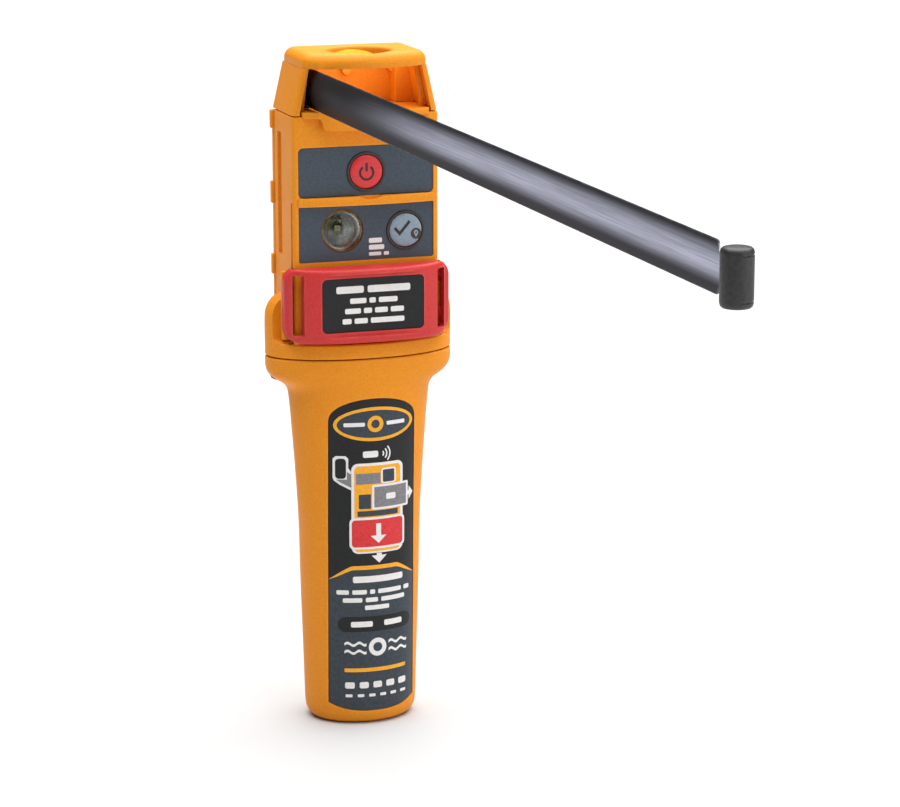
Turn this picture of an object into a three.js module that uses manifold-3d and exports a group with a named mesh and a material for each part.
// A personal man-overboard beacon: a hand-held radio beacon with its spring tape antenna out.
// Millimetres, +Z up, front towards -Y. It is laid out from the foot of the handle (z = 0) and the
// middle of the head (x = y = 0). The group is then shifted so that the origin is on the rear cover.
import * as THREE from "three";
import { mergeVertices } from "three/addons/utils/BufferGeometryUtils.js";
import Module from "manifold-3d";

const wasm = await Module();
wasm.setup();

// ---- driving dimensions, mm ----
const HEIGHT = 155;
const GAP = 0.3;
const FIT = 0.1;
const WALL = 2;

const HANDLE_TOP = 86.1;
const HANDLE_CENTRE_Y = 2.1;
const HANDLE_SIDES = 40;
const HANDLE_WALL = 1.8;
const HANDLE_FLOOR = 2;
// Heights up the handle, with half the width and half the depth of its oval there.
const HANDLE_PROFILE = [
  { z: 0, a: 10.4, b: 8.3 },
  { z: 0.5, a: 11.6, b: 9.5 },
  { z: 1.6, a: 12.5, b: 10.3 },
  { z: 4, a: 13, b: 10.8 },
  { z: 14, a: 13.3, b: 10.9 },
  { z: 32, a: 13.9, b: 10.95 },
  { z: 46, a: 14.2, b: 11 },
  { z: 57, a: 14.8, b: 11 },
  { z: 69, a: 15.7, b: 11 },
  { z: 76.5, a: 16.4, b: 11 },
  { z: 78.6, a: 17, b: 11.05 },
  { z: 79.8, a: 18.2, b: 11.1 },
  { z: 80.8, a: 19.8, b: 11.2 },
  { z: 82, a: 21.1, b: 11.3 },
  { z: 83.6, a: 21.7, b: 11.4 },
  { z: HANDLE_TOP, a: 21.8, b: 11.4 },
];
const FLANGE_A = 21.8;
const FLANGE_B = 11.4;
const FLANGE_TOP = 89.7;
const THROAT_A = 14.2;
const THROAT_B = 8.7;

const LABEL_WIDTH = 20.4;
const LABEL_MIDDLE = 0.5;
const LABEL_FOOT = 2.4;
const LABEL_SHOULDER = 71.5;
const LABEL_APEX = 76.9;

const HOUSING_BOTTOM = 86.4;
const HOUSING_TOP = 141;
const HOUSING_HALF = 17;
const FRONT = -5;
const REAR = 12.5;
const COVER_THICK = 1.7;
const FRONT_WALL = 2.4;
const TOP_WALL = 1.8;
const CORNER_R = 1.2;
const WING_TOP = 100.4;
const WING_FULL = 95.3;
const LUG_PROUD = 0.6;

const LEDGE_HALF = 14.8;
const LEDGE_TOP = 142;
const LIP_BOTTOM = 140.8;
const TONGUE_BOTTOM = 138.2;
const TONGUE_HALF = 9.3;

const PANEL_HALF = 15.7;
const PANEL_DEEP = 0.7;
const PANEL_THICK = 0.4;
const ON_PANEL_Z = [122.9, 134];
const TEST_PANEL_Z = [108.25, 120.8];
const RIB_Z = [120.9, 122.8];

const ON_BUTTON = { x: 0, z: 128.2 };
const TEST_BUTTON = { x: 9.2, z: 114.5 };
const BUTTON_R = 3.85;
const BUTTON_RING_R = 4.45;
const STEM_R = 1.6;
const STROBE = { x: -5.6, z: 115, r: 4.85 };

const BOARD_FRONT = 1.8;
const BOARD_THICK = 1.4;
const BOARD_HALF = 13;
const BOARD_Z = [79, 137.5];
const BOARD_SCREW = { x: 11.2, z: 134.6, r: 0.75 };

const SLIDER_A = 19.4;
const SLIDER_B = 9.5;
const SLIDER_POWER = 2.5;
const SLIDER_CENTRE_Y = -1.75;
const SLIDER_Z = [90.3, 107.3];
const SLIDER_WALL = 2.2;
const SLIDER_BACK = -3.1;
const SLOT_X = [15.6, 17.85];
const SLOT_Z = [92.2, 105.9];
const LABEL_HALF = 11.84;
const LABEL_Z = [92.9, 105.1];
const LABEL_FACE = -9.8;
const RECESS_Z = [91.9, 106.1];
const HOOKS_Z = [[94, 96.4], [102.2, 104.6]];

const TAPE_X = -11.2;
const TAPE_BOW_R = 9;
const TAPE_THICK = 0.3;
const TAPE_Z = [142.2, 151.2];
const TAPE_MIDDLE_Z = (TAPE_Z[0] + TAPE_Z[1]) / 2;
const TAPE_HINGE_Y = 2;
const TAPE_START_Y = 1.5;
// Where its full width ends, where its neck starts, and where it ends inside the tip cap.
const TAPE_SHOULDER_Y = -231;
const TAPE_NECK_Y = -234;
const TAPE_END_Y = -238.6;
const TAPE_NECK_INSET = 2.2;
const ROOT_BOTTOM = 142.45;
const TIP = { x: -11.8, y: -240, r: 2.75, height: 9.8 };
const RIVET_Y = [3.4, 5.6];
const RIVET_Z = 145.6;
const RIVET_R = 0.8;
const FEED_PIN = { x: -12.3, y: 0.4, r: 0.9 };

const SCREW = { x: 17.5, y: 6.2, headR: 2.2, shankR: 1.2, headZ: 79.6 };
const CELL_R = 8.5;
const CELL_LENGTH = 34.5;
const CELL_FOOT = 5.6;

const CAP_SCREW = { x: 12.7, y: 8.9, r: 0.8 };

const MOUNT_Z = 112;

// ---- finishes ----
const finish = (color, roughness, metalness = 0) =>
  new THREE.MeshStandardMaterial({ color, roughness, metalness });
const ORANGE = () => finish("#ee9626", 0.5);
const RED = () => finish("#c8373a", 0.45);
const BLACK = () => finish("#262728", 0.6);
const SLATE = () => finish("#444e5a", 0.45);
const STEEL = () => finish("#8d8f94", 0.3, 0.9);
const BRASS = () => finish("#c9a24a", 0.35, 0.9);
const GREEN = () => finish("#1f5c3a", 0.5);
const RUBBER = () => finish("#1c1c1e", 0.9);

const beacon = new THREE.Group();
beacon.name = "position_beacon";
beacon.position.set(0, -REAR, -MOUNT_Z);

// ---- solids ----
function solidOf(geometry) {
  const bare = geometry.index ? geometry.toNonIndexed() : geometry.clone();
  bare.deleteAttribute("normal");
  bare.deleteAttribute("uv");
  const merged = mergeVertices(bare, 1e-4);
  return new wasm.Manifold(
    new wasm.Mesh({
      numProp: 3,
      vertProperties: new Float32Array(merged.attributes.position.array),
      triVerts: new Uint32Array(merged.index.array),
    }),
  );
}

function add(name, solid, material) {
  const mesh = solid.getMesh();
  const geometry = new THREE.BufferGeometry();
  geometry.setAttribute("position", new THREE.BufferAttribute(mesh.vertProperties, 3));
  geometry.setIndex(new THREE.BufferAttribute(mesh.triVerts, 1));
  geometry.computeVertexNormals();
  const part = new THREE.Mesh(geometry, material);
  part.name = name;
  beacon.add(part);
}

// A block from its lowest to its highest corner.
function block(x, y, z) {
  const geometry = new THREE.BoxGeometry(x[1] - x[0], y[1] - y[0], z[1] - z[0]);
  geometry.translate((x[0] + x[1]) / 2, (y[0] + y[1]) / 2, (z[0] + z[1]) / 2);
  return solidOf(geometry);
}

// A turned solid about a line through (x, y, z): profile rows are [radius, distance along axis].
function turned(profile, axis, x, y, z, sides = 24) {
  const points = profile.map(([r, t]) => new THREE.Vector2(r, t));
  if (THREE.ShapeUtils.area(points) < 0) points.reverse();
  const geometry = new THREE.LatheGeometry(points, sides);
  if (axis === "x") geometry.rotateZ(-Math.PI / 2);
  if (axis === "z") geometry.rotateX(Math.PI / 2);
  geometry.translate(x, y, z);
  return solidOf(geometry);
}

// A round bar between two distances along an axis.
function rod(r, from, to, axis, x, y, z, sides = 24) {
  return turned([[0, from], [r, from], [r, to], [0, to]], axis, x, y, z, sides);
}

// A stack of outlines, each a list of [x, y] going anticlockwise from above, skinned and closed.
function loft(layers) {
  const count = layers[0].outline.length;
  const points = layers.flatMap(({ z, outline }) => outline.map(([x, y]) => [x, y, z]));
  const faces = [];
  for (let layer = 0; layer + 1 < layers.length; layer += 1) {
    for (let i = 0; i < count; i += 1) {
      const a = layer * count + i;
      const b = layer * count + ((i + 1) % count);
      faces.push(a, b, b + count, a, b + count, a + count);
    }
  }
  const top = (layers.length - 1) * count;
  for (const [start, isTop] of [[0, false], [top, true]]) {
    const ring = points.slice(start, start + count);
    const middle = [0, 1, 2].map((k) => ring.reduce((sum, p) => sum + p[k], 0) / count);
    const hub = points.push(middle) - 1;
    for (let i = 0; i < count; i += 1) {
      const a = start + i;
      const b = start + ((i + 1) % count);
      faces.push(...(isTop ? [a, b, hub] : [b, a, hub]));
    }
  }
  const geometry = new THREE.BufferGeometry();
  geometry.setAttribute("position", new THREE.Float32BufferAttribute(points.flat(), 3));
  geometry.setIndex(faces);
  return solidOf(geometry);
}

function oval(a, b, centreY, sides = HANDLE_SIDES, power = 2) {
  return Array.from({ length: sides }, (_, i) => {
    const turn = (2 * Math.PI * i) / sides;
    const c = Math.cos(turn);
    const s = Math.sin(turn);
    const grow = Math.pow(Math.abs(c) ** power + Math.abs(s) ** power, -1 / power);
    return [a * grow * c, centreY + b * grow * s];
  });
}

// A rounded rectangle in plan whose front edge can bow forwards by `bow` at its middle.
function plan(half, front, rear, frontR, rearR, bow = 0, frontSteps = 10) {
  const points = [];
  const corners = [
    [half - frontR, front + frontR, frontR, -90],
    [half - rearR, rear - rearR, rearR, 0],
    [rearR - half, rear - rearR, rearR, 90],
    [frontR - half, front + frontR, frontR, 180],
  ];
  for (const [x, y, r, start] of corners) {
    for (let i = 0; i <= 4; i += 1) {
      const turn = THREE.MathUtils.degToRad(start + i * 22.5);
      points.push([x + r * Math.cos(turn), y + r * Math.sin(turn)]);
    }
  }
  const straight = half - frontR;
  for (let i = 1; i < frontSteps; i += 1) {
    points.push([-straight + (2 * straight * i) / frontSteps, front]);
  }
  const middle = (front + rear) / 2;
  return points.map(([x, y]) => (y < middle ? [x, y - bow * (1 - (x / half) ** 2)] : [x, y]));
}

// A prism along Y from an outline of THREE.Vector2 in the X-Z plane.
function prismAlongY(outline, fromY, toY) {
  const geometry = new THREE.ExtrudeGeometry(new THREE.Shape(outline), {
    depth: toY - fromY,
    bevelEnabled: false,
  });
  geometry.rotateX(Math.PI / 2);
  geometry.translate(0, toY, 0);
  return solidOf(geometry);
}

// A rectangle with rounded corners as an outline in X-Z.
function roundedOutline(x, z, radius, steps = 4) {
  const corners = [
    [x[1] - radius, z[0] + radius, -90],
    [x[1] - radius, z[1] - radius, 0],
    [x[0] + radius, z[1] - radius, 90],
    [x[0] + radius, z[0] + radius, 180],
  ];
  return corners.flatMap(([cx, cz, start]) =>
    Array.from({ length: steps + 1 }, (_, i) => {
      const turn = THREE.MathUtils.degToRad(start + (i * 90) / steps);
      return new THREE.Vector2(cx + radius * Math.cos(turn), cz + radius * Math.sin(turn));
    }),
  );
}

const union = (...solids) => solids.reduce((all, solid) => all.add(solid));
const cut = (solid, ...tools) => tools.reduce((left, tool) => left.subtract(tool), solid);
const bothSides = (make) => [-1, 1].map(make);

// ---- handle ----
function handleOutside(inset) {
  return loft(
    HANDLE_PROFILE.map(({ z, a, b }) => ({ z, outline: oval(a - inset, b - inset, HANDLE_CENTRE_Y) })),
  );
}

function labelOutline(grow) {
  const left = LABEL_MIDDLE - LABEL_WIDTH / 2 - grow;
  const right = LABEL_MIDDLE + LABEL_WIDTH / 2 + grow;
  const foot = LABEL_FOOT - grow;
  const top = LABEL_APEX + grow;
  const shape = new THREE.Path();
  shape.moveTo(left, foot + 4.6);
  shape.quadraticCurveTo(left, foot + 3.2, left + 1.8, foot + 2.7);
  shape.quadraticCurveTo(LABEL_MIDDLE, foot, right - 1.8, foot + 2.7);
  shape.quadraticCurveTo(right, foot + 3.2, right, foot + 4.6);
  shape.lineTo(right, LABEL_SHOULDER);
  shape.quadraticCurveTo(right, top, LABEL_MIDDLE, top);
  shape.quadraticCurveTo(left, top, left, LABEL_SHOULDER);
  return shape.getPoints(6).slice(0, -1);
}

function makeHandle() {
  const inner = HANDLE_PROFILE.filter(({ z }) => z > HANDLE_FLOOR && z < 78).map(({ z, a, b }) => ({
    z,
    outline: oval(a - HANDLE_WALL, b - HANDLE_WALL, HANDLE_CENTRE_Y),
  }));
  const throat = oval(THROAT_A, THROAT_B, HANDLE_CENTRE_Y);
  const hollow = loft([
    { z: HANDLE_FLOOR, outline: oval(10.6, 8.7, HANDLE_CENTRE_Y) },
    ...inner,
    { z: 79, outline: throat },
    { z: HANDLE_TOP + 1, outline: throat },
  ]);
  const groove = loft(
    [85.2, 87].map((z) => ({ z, outline: oval(16.4, 10.4, HANDLE_CENTRE_Y) })),
  ).subtract(loft([85.2, 87].map((z) => ({ z, outline: oval(14.8, 9.3, HANDLE_CENTRE_Y) }))));
  const recess = prismAlongY(labelOutline(0.15), -14, -3).subtract(handleOutside(0.45));
  const pockets = bothSides((side) =>
    union(
      rod(SCREW.headR + 0.5, 70, 82.2, "z", side * SCREW.x, SCREW.y, 0, 24),
      rod(SCREW.shankR + 0.15, 82, 88, "z", side * SCREW.x, SCREW.y, 0, 16),
    ),
  );
  add("handle", cut(handleOutside(0), hollow, groove, recess, ...pockets), ORANGE());
}

function makeHandleLabel() {
  const sheet = handleOutside(0.08).subtract(handleOutside(0.4));
  add("handle_label", sheet.intersect(prismAlongY(labelOutline(0), -14, -3)), BLACK());
}

function makeCollarSeal() {
  const band = (a, b) => loft([85.25, 86.35].map((z) => ({ z, outline: oval(a, b, HANDLE_CENTRE_Y) })));
  add("collar_seal", band(16.3, 10.3).subtract(band(14.9, 9.4)), RUBBER());
}

// ---- upper housing ----
function housingOutside() {
  const body = loft(
    [HOUSING_BOTTOM, HOUSING_TOP].map((z) => ({
      z,
      outline: plan(HOUSING_HALF, FRONT, REAR - COVER_THICK - FIT, CORNER_R, 0.3),
    })),
  );
  const flange = loft([
    { z: HOUSING_BOTTOM, outline: oval(FLANGE_A, FLANGE_B, HANDLE_CENTRE_Y) },
    { z: FLANGE_TOP - 0.5, outline: oval(FLANGE_A, FLANGE_B, HANDLE_CENTRE_Y) },
    { z: FLANGE_TOP, outline: oval(FLANGE_A - 0.5, FLANGE_B - 0.5, HANDLE_CENTRE_Y) },
  ]);
  const shoulder = [
    [FLANGE_TOP - 1, 0],
    [WING_FULL, 0],
    [97.4, 0.5],
    [99, 1.6],
    [100, 3.2],
    [WING_TOP, 4.9],
  ];
  const wings = loft(
    shoulder.map(([z, inset]) => ({
      z,
      outline: oval(FLANGE_A - inset, FLANGE_B - 0.1 * inset, HANDLE_CENTRE_Y),
    })),
  ).intersect(block([-30, 30], [-2.6, REAR - COVER_THICK - FIT], [80, 110]));
  const scoops = bothSides((side) => rod(4, FLANGE_TOP, 110, "z", side * 19.6, -4.6, 0, 32));
  return union(body, flange, cut(wings, ...scoops));
}

function ledgeSolid() {
  const shelf = loft([
    { z: 137.5, outline: plan(TONGUE_HALF, FRONT + 0.4, 0, 1.8, 0.3, 0.2) },
    { z: TONGUE_BOTTOM + 0.3, outline: plan(TONGUE_HALF, FRONT - 0.5, 0, 1.8, 0.3, 1.9) },
    { z: 141, outline: plan(TONGUE_HALF + 0.9, FRONT - 0.7, 0, 1.8, 0.3, 2.2) },
  ]);
  const lip = loft([
    { z: LIP_BOTTOM, outline: plan(LEDGE_HALF, FRONT - 0.3, 0, 0.8, 0.3, 2.7) },
    { z: LEDGE_TOP - 0.4, outline: plan(LEDGE_HALF, FRONT - 0.5, 0, 0.8, 0.3, 2.8) },
    { z: LEDGE_TOP, outline: plan(LEDGE_HALF - 0.3, FRONT - 0.2, 0, 0.8, 0.3, 2.8) },
  ]);
  const floor = block([-LEDGE_HALF, LEDGE_HALF], [-1, 10], [139.4, LEDGE_TOP]);
  return union(shelf, lip, floor);
}

function ribSolid() {
  const rib = loft([
    { z: RIB_Z[0], outline: plan(16, FRONT - 0.4, -3.4, 0.6, 0.3, 1.3) },
    { z: RIB_Z[1] - 0.4, outline: plan(16, FRONT - 0.4, -3.4, 0.6, 0.3, 1.3) },
    { z: RIB_Z[1], outline: plan(15.8, FRONT - 0.1, -3.4, 0.6, 0.3, 1.2) },
  ]);
  const thumb = rod(5, -9, -4, "y", 0, 0, RIB_Z[1] + 4.3, 48);
  return rib.subtract(thumb);
}

function makeHousing() {
  const inside = block(
    [-HOUSING_HALF + WALL, HOUSING_HALF - WALL],
    [FRONT + FRONT_WALL, REAR],
    [91.5, HOUSING_TOP - TOP_WALL],
  );
  const passage = (low, high) =>
    loft([low, high].map((z) => ({ z, outline: oval(THROAT_A, THROAT_B, HANDLE_CENTRE_Y) })));
  const throat = union(
    passage(85, 89.2),
    passage(89, 93).intersect(block([-20, 20], [FRONT + FRONT_WALL, 12], [80, 100])),
  );
  const bosses = bothSides((side) =>
    rod(2, -4, BOARD_FRONT - FIT, "y", side * BOARD_SCREW.x, 0, BOARD_SCREW.z, 20),
  );
  const recesses = [ON_PANEL_Z, TEST_PANEL_Z].map((z) =>
    block([-PANEL_HALF - FIT, PANEL_HALF + FIT], [-8, FRONT + PANEL_DEEP], [z[0] - FIT, z[1] + FIT]),
  );
  const buttonHoles = [ON_BUTTON, TEST_BUTTON].map(({ x, z }) =>
    union(
      rod(BUTTON_R + 0.2, -6, FRONT + 1.75, "y", x, 0, z),
      rod(STEM_R + 0.2, -6, 0, "y", x, 0, z, 20),
    ),
  );
  const strobeHole = rod(4.3, -6, 0, "y", STROBE.x, 0, STROBE.z);
  const rails = bothSides((side) => {
    const outer = side * (HOUSING_HALF + 1);
    const inner = side * (HOUSING_HALF - 1);
    const x = [Math.min(outer, inner), Math.max(outer, inner)];
    return union(block(x, [4.4, 7.7], [108.6, 136.6]), block(x, [-4.1, -2.9], [WING_TOP - 12, 121.8]));
  });
  const screwHoles = bothSides((side) =>
    rod(SCREW.shankR + 0.1, 80, 95.2, "z", side * SCREW.x, SCREW.y, 0, 16),
  );
  const capHoles = bothSides((side) =>
    rod(CAP_SCREW.r + 0.15, 138, 143, "z", side * CAP_SCREW.x, CAP_SCREW.y, 0, 16),
  );
  const boardHoles = bothSides((side) =>
    rod(BOARD_SCREW.r + FIT, -2.2, 3, "y", side * BOARD_SCREW.x, 0, BOARD_SCREW.z, 16),
  );
  const feedHole = rod(FEED_PIN.r + 0.25, 138, 143, "z", FEED_PIN.x, FEED_PIN.y, 0, 16);
  const gasketGroove = block([-16.3, 16.3], [9.9, 13], [91, 140.2]).subtract(
    block([-15.5, 15.5], [9, 14], [91.8, 139.4]),
  );
  const shell = union(cut(housingOutside(), inside, throat, ...recesses), ledgeSolid(), ribSolid());
  add(
    "upper_housing",
    cut(
      union(shell, ...bosses),
      ...buttonHoles,
      strobeHole,
      ...rails,
      ...screwHoles,
      ...capHoles,
      ...boardHoles,
      feedHole,
      gasketGroove,
    ),
    ORANGE(),
  );
}

function makeRearCover() {
  const plate = block([-HOUSING_HALF, HOUSING_HALF], [REAR - COVER_THICK, REAR], [90.6, 140.8]);
  const lugs = [[136.6, 140.8], [119.5, 124.6], [103.2, 107.9]].map((z) =>
    block([-HOUSING_HALF - LUG_PROUD, HOUSING_HALF + LUG_PROUD], [REAR - COVER_THICK, REAR - 0.3], z),
  );
  const edges = bothSides((side) =>
    block([side * 17 - 0.8, side * 17 + 0.8], [REAR - 0.7, REAR + 1], [80, 150]),
  );
  add("rear_cover", union(cut(plate, ...edges), ...lugs), ORANGE());
}

function makeRearGasket() {
  const y = [10.05, REAR - COVER_THICK - 0.02];
  const ring = block([-16.2, 16.2], y, [91.1, 140.1]).subtract(
    block([-15.6, 15.6], [9, 14], [91.7, 139.5]),
  );
  add("rear_gasket", ring, RUBBER());
}

// ---- panels, buttons and lamp on the front ----
function makePanels() {
  const back = FRONT + PANEL_DEEP - 0.05;
  const front = back - PANEL_THICK;
  const onOutline = roundedOutline([-PANEL_HALF, PANEL_HALF], ON_PANEL_Z, 1);
  const testOutline = roundedOutline([-PANEL_HALF, PANEL_HALF], TEST_PANEL_Z, 0.4, 2);
  const ringHole = ({ x, z }) => rod(BUTTON_RING_R + FIT, -6, 0, "y", x, 0, z);
  const onSheet = prismAlongY(onOutline, front, back);
  const testSheet = prismAlongY(testOutline, front, back);
  const lensHole = rod(STROBE.r + FIT, -6, 0, "y", STROBE.x, 0, STROBE.z);
  add("on_panel", onSheet.subtract(ringHole(ON_BUTTON)), SLATE());
  add("test_panel", cut(testSheet, ringHole(TEST_BUTTON), lensHole), SLATE());
}

function makeButton(name, place, material) {
  const ring = turned(
    [
      [BUTTON_R + 0.1, FRONT + PANEL_DEEP - 0.05],
      [BUTTON_RING_R, FRONT + PANEL_DEEP - 0.05],
      [BUTTON_RING_R, FRONT + 0.05],
      [BUTTON_RING_R - 0.12, FRONT - 0.05],
      [BUTTON_R + 0.1, FRONT - 0.05],
      [BUTTON_R + 0.1, FRONT + PANEL_DEEP - 0.05],
    ],
    "y",
    place.x,
    0,
    place.z,
  );
  const key = turned(
    [
      [0, FRONT - 0.3],
      [BUTTON_R - 1.2, FRONT - 0.24],
      [BUTTON_R - 0.2, FRONT - 0.1],
      [BUTTON_R - 0.05, FRONT + 0.1],
      [BUTTON_R - 0.05, FRONT + 0.85],
      [STEM_R, FRONT + 0.85],
      [STEM_R, -1.65],
      [0, -1.65],
    ],
    "y",
    place.x,
    0,
    place.z,
  );
  add(name + "_ring", ring, BLACK());
  add(name, key, material);
}

function makeStrobe() {
  const lens = turned(
    [
      [0, FRONT - 0.65],
      [1.8, FRONT - 0.55],
      [3.3, FRONT - 0.25],
      [4.3, FRONT + 0.1],
      [STROBE.r, FRONT + 0.45],
      [STROBE.r, FRONT + 0.65],
      [4.15, FRONT + 0.65],
      [4.15, FRONT + 1.8],
      [3.4, FRONT + 1.8],
      [2, FRONT + 1.2],
      [0, FRONT + 1],
    ],
    "y",
    STROBE.x,
    0,
    STROBE.z,
  );
  const cup = turned(
    [
      [1.5, 1.5],
      [4.1, -2.9],
      [3.7, -2.9],
      [1.4, 0.9],
      [1.4, 1.5],
      [1.5, 1.5],
    ],
    "y",
    STROBE.x,
    0,
    STROBE.z,
    24,
  );
  add("strobe_lens", lens, finish("#3a3f42", 0.15));
  add("strobe_reflector", cup, STEEL());
  const chip = block(
    [STROBE.x - 0.8, STROBE.x + 0.8],
    [0.2, BOARD_FRONT - 0.02],
    [STROBE.z - 0.8, STROBE.z + 0.8],
  );
  add("strobe_led", chip, finish("#e8e0b0", 0.4));
}

// ---- slider ----
function sliderFront(inset) {
  const outline = oval(SLIDER_A - inset, SLIDER_B - inset, SLIDER_CENTRE_Y, 64, SLIDER_POWER);
  return loft([SLIDER_Z[0] - 2, SLIDER_Z[1] + 2].map((z) => ({ z, outline })));
}

function makeSlider() {
  const face = prismAlongY(roundedOutline([-20, 20], SLIDER_Z, 3.4, 5), -14, SLIDER_BACK);
  const solid = sliderFront(0).intersect(face);
  const hollowZ = [SLIDER_Z[0] + 1.6, SLIDER_Z[1] - 1.6];
  const hollow = sliderFront(SLIDER_WALL).intersect(block([-20, 20], [-14, 0], hollowZ));
  const bodyRoom = block([-17.4, 17.4], [FRONT - 1.1, 5], [80, 110]);
  const slots = bothSides((side) => {
    const x = SLOT_X.map((v) => v * side).sort((p, q) => p - q);
    return block(x, [-9.6, 0], SLOT_Z);
  });
  const labelSeat = block([-LABEL_HALF - FIT, LABEL_HALF + FIT], [-14, LABEL_FACE + 0.3], [
    LABEL_Z[0] - FIT,
    LABEL_Z[1] + FIT,
  ]);
  const bevel = prismAlongY(roundedOutline([-12.3, 12.3], RECESS_Z, 0.8, 3), -14, LABEL_FACE - 0.5);
  const runners = bothSides((side) =>
    HOOKS_Z.map((z) => {
      const x = [side * 16.2, side * 18.2].sort((p, q) => p - q);
      return block(x, [-3.8, SLIDER_BACK], z);
    }),
  ).flat();
  const backing = block([-13.2, 13.2], [LABEL_FACE + 0.3, LABEL_FACE + 1.8], [91, 106.6]);
  const shell = union(cut(solid, hollow), backing);
  add("slider", union(cut(shell, bodyRoom, ...slots, labelSeat, bevel), ...runners), RED());
}

function makeSliderLabel() {
  const outline = roundedOutline([-LABEL_HALF, LABEL_HALF], LABEL_Z, 1.1);
  add("slider_label", prismAlongY(outline, LABEL_FACE, LABEL_FACE + 0.28), BLACK());
}

// ---- head ----
function makeHeadCap() {
  const bottom = HOUSING_TOP + GAP;
  const side = (z, half, front, rear, rearR, bow) => ({
    z,
    outline: plan(half, front, rear, 1, rearR, bow),
  });
  const outside = loft([
    side(bottom, 16.9, FRONT + 0.1, REAR, 1.6, 0),
    side(151.6, 14.5, FRONT + 0.3, REAR, 1.6, 0),
    side(151.7, 14.5, FRONT - 0.4, REAR, 1.6, 3),
    side(152.6, 14.3, FRONT - 0.5, REAR, 1.6, 3.3),
    side(153.8, 13.9, FRONT - 0.2, REAR - 0.2, 1.8, 3.2),
    side(154.6, 13.1, FRONT + 0.8, REAR - 0.9, 2, 3),
    side(HEIGHT, 12, FRONT + 2, REAR - 1.7, 2, 2.8),
  ]);
  const inside = loft([
    side(bottom - 1, 15.45, FRONT + 1.5, REAR - 1.6, 1, 0),
    side(151.6, 13.1, FRONT + 1.6, REAR - 1.6, 1, 0),
    side(152.9, 12.8, FRONT + 1.7, REAR - 1.8, 1, 0),
  ]);
  const mouth = prismAlongY(
    [
      new THREE.Vector2(-15.4, bottom - 1),
      new THREE.Vector2(15.4, bottom - 1),
      new THREE.Vector2(15.25, 142),
      new THREE.Vector2(13.1, 151.7),
      new THREE.Vector2(-13.1, 151.7),
      new THREE.Vector2(-15.25, 142),
    ],
    -12,
    -2,
  );
  const eye = turned(
    [
      [0, 150],
      [7.1, 150],
      [7.1, HEIGHT - 0.5],
      [7.25, HEIGHT - 0.2],
      [7.7, HEIGHT + 0.1],
      [0, HEIGHT + 0.1],
    ],
    "z",
    0,
    0,
    0,
    48,
  );
  const notch = block([9.4, 12.3], [10, 14], [HEIGHT - 0.8, HEIGHT + 1]);
  const rib = union(
    block([-1, 1], [REAR - 3.2, REAR - 1], [149.2, 153.4]),
    rod(1, REAR - 3.2, REAR - 1, "y", 0, 0, 149.2, 16),
  );
  const screwBosses = bothSides((end) =>
    rod(2.1, LEDGE_TOP + FIT, 144.4, "z", end * CAP_SCREW.x, CAP_SCREW.y, 0, 24),
  );
  const feet = bothSides((end) => {
    const x = [end * 11.4, end * 15.4].sort((p, q) => p - q);
    return block(x, [7.2, REAR - 1], [LEDGE_TOP + FIT, 143.4]);
  });
  const screwHoles = bothSides((end) =>
    rod(CAP_SCREW.r + 0.15, 140, 146, "z", end * CAP_SCREW.x, CAP_SCREW.y, 0, 16),
  );
  const shell = cut(outside, inside, mouth);
  add(
    "head_cap",
    cut(union(shell, rib, ...feet, ...screwBosses), eye, notch, ...screwHoles),
    ORANGE(),
  );
}

// ---- antenna ----
// The tape is bowed across its width like a tape measure; its hollow side faces +X.
function tapeStrip(fromY, toY, grow = 0) {
  const halfWidth = (TAPE_Z[1] - TAPE_Z[0]) / 2;
  const reach = Math.asin(halfWidth / TAPE_BOW_R);
  const centreX = TAPE_X + TAPE_BOW_R * Math.cos(reach);
  const arc = (radius, flip) =>
    Array.from({ length: 9 }, (_, i) => {
      const turn = (flip ? 1 : -1) * reach * (1 - i / 4);
      return new THREE.Vector2(
        centreX - radius * Math.cos(turn),
        TAPE_MIDDLE_Z + radius * Math.sin(turn),
      );
    });
  const outline = [...arc(TAPE_BOW_R + grow, false), ...arc(TAPE_BOW_R - TAPE_THICK - grow, true)];
  return prismAlongY(outline, fromY, toY);
}

// The tape from its side: full width, then tapering to a neck. It can grow by a fit at each edge.
function tapeSideView(grow = 0) {
  const top = TAPE_Z[1] + grow;
  const bottom = TAPE_Z[0] - grow;
  return [
    [TAPE_START_Y + 1, bottom],
    [TAPE_START_Y + 1, top],
    [TAPE_SHOULDER_Y, top],
    [TAPE_NECK_Y, top - TAPE_NECK_INSET],
    [TAPE_END_Y - grow, top - TAPE_NECK_INSET],
    [TAPE_END_Y - grow, bottom + TAPE_NECK_INSET],
    [TAPE_NECK_Y, bottom + TAPE_NECK_INSET],
    [TAPE_SHOULDER_Y, bottom],
  ];
}

// A prism along X from an outline of [y, z] rows.
function prismAlongX(rows, fromX, toX) {
  const shape = new THREE.Shape(rows.map(([y, z]) => new THREE.Vector2(y, z)));
  const geometry = new THREE.ExtrudeGeometry(shape, { depth: toX - fromX, bevelEnabled: false });
  geometry.rotateX(Math.PI / 2);
  geometry.rotateZ(Math.PI / 2);
  geometry.translate(fromX, 0, 0);
  return solidOf(geometry);
}

function makeTipCap() {
  const half = TIP.height / 2;
  const cap = turned(
    [
      [0, -half],
      [TIP.r - 0.9, -half],
      [TIP.r - 0.25, -half + 0.45],
      [TIP.r, -half + 1.2],
      [TIP.r, half - 1.2],
      [TIP.r - 0.25, half - 0.45],
      [TIP.r - 0.9, half],
      [0, half],
    ],
    "z",
    TIP.x,
    TIP.y,
    TAPE_MIDDLE_Z,
    36,
  );
  const pocket = tapeStrip(TAPE_END_Y - 0.4, TAPE_NECK_Y, FIT).intersect(
    prismAlongX(tapeSideView(0.2), -16, -6),
  );
  add("antenna_tip_cap", cap.subtract(pocket), BLACK());
}

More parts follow.
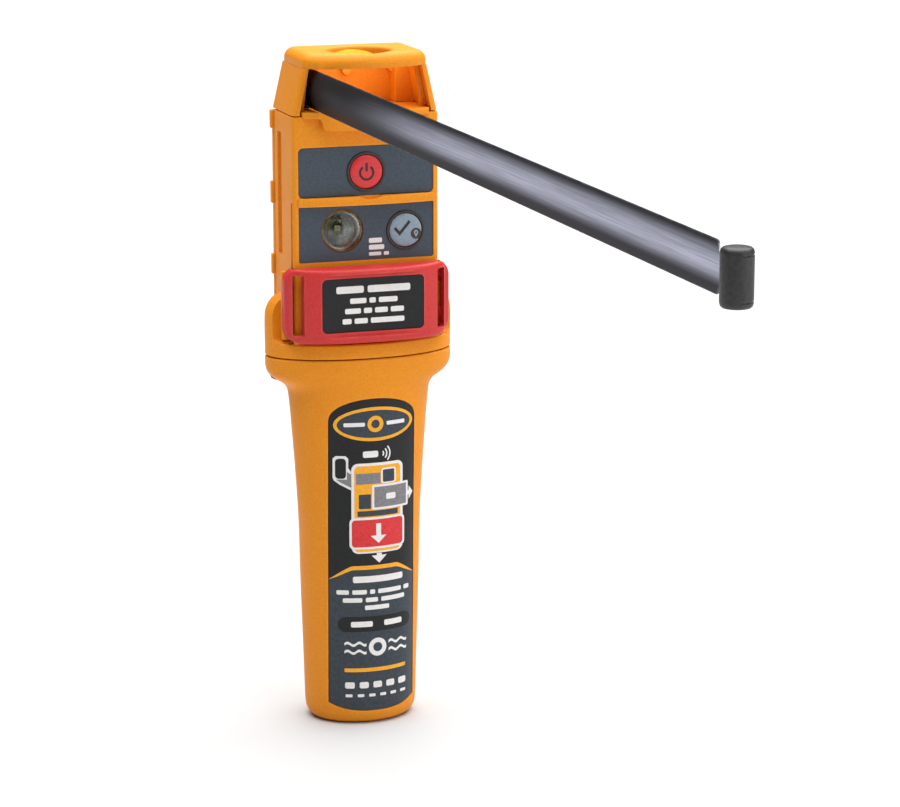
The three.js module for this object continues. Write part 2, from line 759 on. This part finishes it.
function makeAntenna() {
  const tape = tapeStrip(TAPE_END_Y - 1, TAPE_START_Y).intersect(
    prismAlongX(tapeSideView(), -16, -6),
  );
  add("antenna_tape", tape, finish("#303032", 0.35, 0.6));
  const rivetHole = (y) => rod(RIVET_R + 0.15, -16, -6, "x", 0, y, RIVET_Z, 16);
  const underRoot = block([-16, -6], [0, 8], [140, ROOT_BOTTOM]);
  const root = cut(tapeStrip(TAPE_HINGE_Y + GAP, 6.4), underRoot, ...RIVET_Y.map(rivetHole));
  add("antenna_root", root, finish("#303032", 0.35, 0.6));

  const clamp = cut(
    block([-13.5, -9.4], [TAPE_HINGE_Y + 0.5, 6.5], [LEDGE_TOP + FIT, 147.4]),
    block([-12.75, -10.5], [0, 8], [ROOT_BOTTOM - FIT, 150]),
    ...RIVET_Y.map(rivetHole),
  );
  add("antenna_clamp", clamp, BLACK());
  for (const [name, y] of [["antenna_rivet_front", RIVET_Y[0]], ["antenna_rivet_rear", RIVET_Y[1]]]) {
    const rivet = turned(
      [
        [0, -13.4],
        [RIVET_R, -13.4],
        [RIVET_R, -9.3],
        [RIVET_R + 0.2, -9.3],
        [RIVET_R, -8.8],
        [0, -8.7],
      ],
      "x",
      0,
      y,
      RIVET_Z,
      16,
    );
    add(name, rivet, STEEL());
  }
  const pin = rod(FEED_PIN.r, 137.8, 141.9, "z", FEED_PIN.x, FEED_PIN.y, 0, 16);
  add("antenna_feed_pin", pin, BRASS());
}

// ---- electronics and battery ----
function makeElectronics() {
  const back = BOARD_FRONT + BOARD_THICK;
  const holes = bothSides((side) =>
    rod(BOARD_SCREW.r + FIT, 0, 5, "y", side * BOARD_SCREW.x, 0, BOARD_SCREW.z, 16),
  );
  const board = block([-BOARD_HALF, BOARD_HALF], [BOARD_FRONT, back], BOARD_Z);
  add("main_board", cut(board, ...holes), GREEN());
  for (const [name, side] of [["board_screw_left", -1], ["board_screw_right", 1]]) {
    const screw = turned(
      [
        [0, -1.8],
        [BOARD_SCREW.r, -1.8],
        [BOARD_SCREW.r, back + 0.02],
        [1.5, back + 0.02],
        [1.5, back + 0.8],
        [1.1, back + 1.1],
        [0, back + 1.1],
      ],
      "y",
      side * BOARD_SCREW.x,
      0,
      BOARD_SCREW.z,
      16,
    );
    add(name, screw, STEEL());
  }
  add("rf_shield", block([-9.5, 9.5], [back + 0.02, back + 2.8], [107, 129]), STEEL());
  add("gnss_antenna", block([-6, 6], [-2.3, BOARD_FRONT - 0.02], [92.5, 104.5]), finish("#d8cfb8", 0.6));
  for (const [name, { x, z }] of [["on_switch", ON_BUTTON], ["test_switch", TEST_BUTTON]]) {
    const body = block([x - 2.2, x + 2.2], [-0.1, BOARD_FRONT - 0.02], [z - 2.2, z + 2.2]);
    add(name, body.add(rod(1, -0.8, 0.5, "y", x, 0, z, 20)), BLACK());
  }
  const coil = block([-7.4, 7.4], [-5, -4.6], [76.8, 85.8]).subtract(
    block([-5, 5], [-7, -4], [79, 83.6]),
  );
  add("nfc_coil", coil, BRASS());
}

function makeBattery() {
  const cell = (foot) =>
    turned(
      [
        [0, foot],
        [CELL_R - 0.5, foot],
        [CELL_R, foot + 0.5],
        [CELL_R, foot + CELL_LENGTH - 1.8],
        [CELL_R - 0.6, foot + CELL_LENGTH - 1.2],
        [3.2, foot + CELL_LENGTH - 1.2],
        [3, foot + CELL_LENGTH],
        [0, foot + CELL_LENGTH],
      ],
      "z",
      0,
      HANDLE_CENTRE_Y,
      0,
      28,
    );
  const cellGap = 0.05;
  const second = CELL_FOOT + CELL_LENGTH + cellGap;
  const end = second + CELL_LENGTH + cellGap;
  add("battery_cell_lower", cell(CELL_FOOT), finish("#3d6a9c", 0.4, 0.3));
  add("battery_cell_upper", cell(second), finish("#3d6a9c", 0.4, 0.3));
  const spring = turned(
    [
      [0, 2.1],
      [6.2, 2.1],
      [3.6, 5.5],
      [0, 5.5],
    ],
    "z",
    0,
    HANDLE_CENTRE_Y,
    0,
    20,
  );
  add("battery_spring", spring, STEEL());
  add("battery_contact", rod(5, end, end + 0.8, "z", 0, HANDLE_CENTRE_Y, 0, 24), STEEL());
}

// ---- fasteners ----
function makeScrews() {
  for (const [name, side] of [["left", -1], ["right", 1]]) {
    const flangeScrew = turned(
      [
        [0, SCREW.headZ],
        [SCREW.headR - 0.7, SCREW.headZ],
        [SCREW.headR, SCREW.headZ + 0.9],
        [SCREW.headR, SCREW.headZ + 2.4],
        [SCREW.shankR, SCREW.headZ + 2.4],
        [SCREW.shankR, 94.8],
        [0, 94.8],
      ],
      "z",
      side * SCREW.x,
      SCREW.y,
      0,
      20,
    );
    const capScrew = turned(
      [
        [0, 139.6],
        [CAP_SCREW.r, 139.6],
        [CAP_SCREW.r, 144.45],
        [1.7, 144.45],
        [1.7, 145.2],
        [1.1, 145.8],
        [0, 145.8],
      ],
      "z",
      side * CAP_SCREW.x,
      CAP_SCREW.y,
      0,
      18,
    );
    add("flange_screw_" + name, flangeScrew, finish("#2e2f31", 0.35, 0.8));
    add("cap_screw_" + name, capScrew, STEEL());
  }
}

makeHandle();
makeHandleLabel();
makeCollarSeal();
makeHousing();
makeRearCover();
makeRearGasket();
makePanels();
makeButton("on_button", ON_BUTTON, RED());
makeButton("test_button", TEST_BUTTON, finish("#8798a8", 0.45));
makeStrobe();
makeSlider();
makeSliderLabel();
makeHeadCap();
makeTipCap();
makeAntenna();
makeElectronics();
makeBattery();
makeScrews();

export default beacon;
